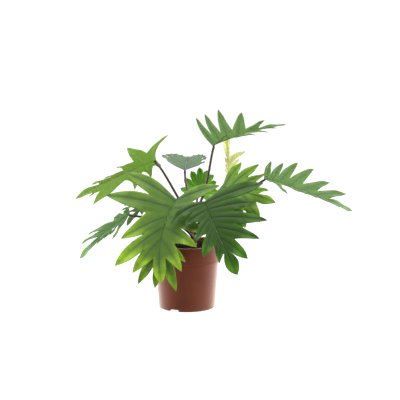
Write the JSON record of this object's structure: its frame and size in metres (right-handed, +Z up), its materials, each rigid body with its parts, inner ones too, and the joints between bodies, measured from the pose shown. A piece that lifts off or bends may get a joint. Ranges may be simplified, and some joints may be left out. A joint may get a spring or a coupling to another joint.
{
  "type": "potted philodendron mayoi",
  "caption": "Young climbing aroid with deeply lobed fan-like leaves on thin dark stalks, rooted in a soil-filled tapered plastic nursery pot.",
  "frame": {"origin": "middle of the pot's underside, on the surface that the pot stands on", "axes": "+Z up, +X to the right and +Y away from the viewer of the picture"},
  "size_m": [0.5001, 0.2727, 0.3479],
  "materials": {
    "pot_plastic": "satin terracotta brown",
    "potting_soil": "dark damp peat and fibre",
    "stem_bark": "dull brown",
    "dry_sheath": "dry and papery",
    "leaf_mid": "satin mid green",
    "leaf_light": "light green, lit through",
    "leaf_grey": "glossy grey green",
    "leaf_bright": "satin yellow green",
    "leaf_deep": "satin deep green",
    "leaf_young": "pale yellow green, still soft",
    "petiole_maroon": "smooth, nearly black maroon"
  },
  "bodies": {
    "root": {"pot": "pot_plastic", "soil": "potting_soil", "stem": "stem_bark", "aerial_root_1": "stem_bark", "aerial_root_2": "stem_bark", "sheath_right": "dry_sheath", "sheath_left": "dry_sheath", "leaf_a": "leaf_mid", "leaf_b": "leaf_young", "leaf_c": "leaf_mid", "leaf_d": "leaf_light", "leaf_e": "leaf_grey", "leaf_f": "leaf_bright", "leaf_g": "leaf_deep", "leaf_h": "leaf_bright", "leaf_i": "leaf_deep", "leaf_j": "leaf_bright", "leaf_k": "leaf_deep", "leaf_l": "leaf_mid", "leaf_n": "leaf_deep", "petiole_a": "petiole_maroon", "petiole_b": "petiole_maroon", "petiole_c": "petiole_maroon", "petiole_d": "petiole_maroon", "petiole_e": "petiole_maroon", "petiole_f": "petiole_maroon", "petiole_g": "petiole_maroon", "petiole_h": "petiole_maroon", "petiole_i": "petiole_maroon", "petiole_j": "petiole_maroon", "petiole_k": "petiole_maroon", "petiole_l": "petiole_maroon", "petiole_n": "petiole_maroon"}
  },
  "joints": []
}
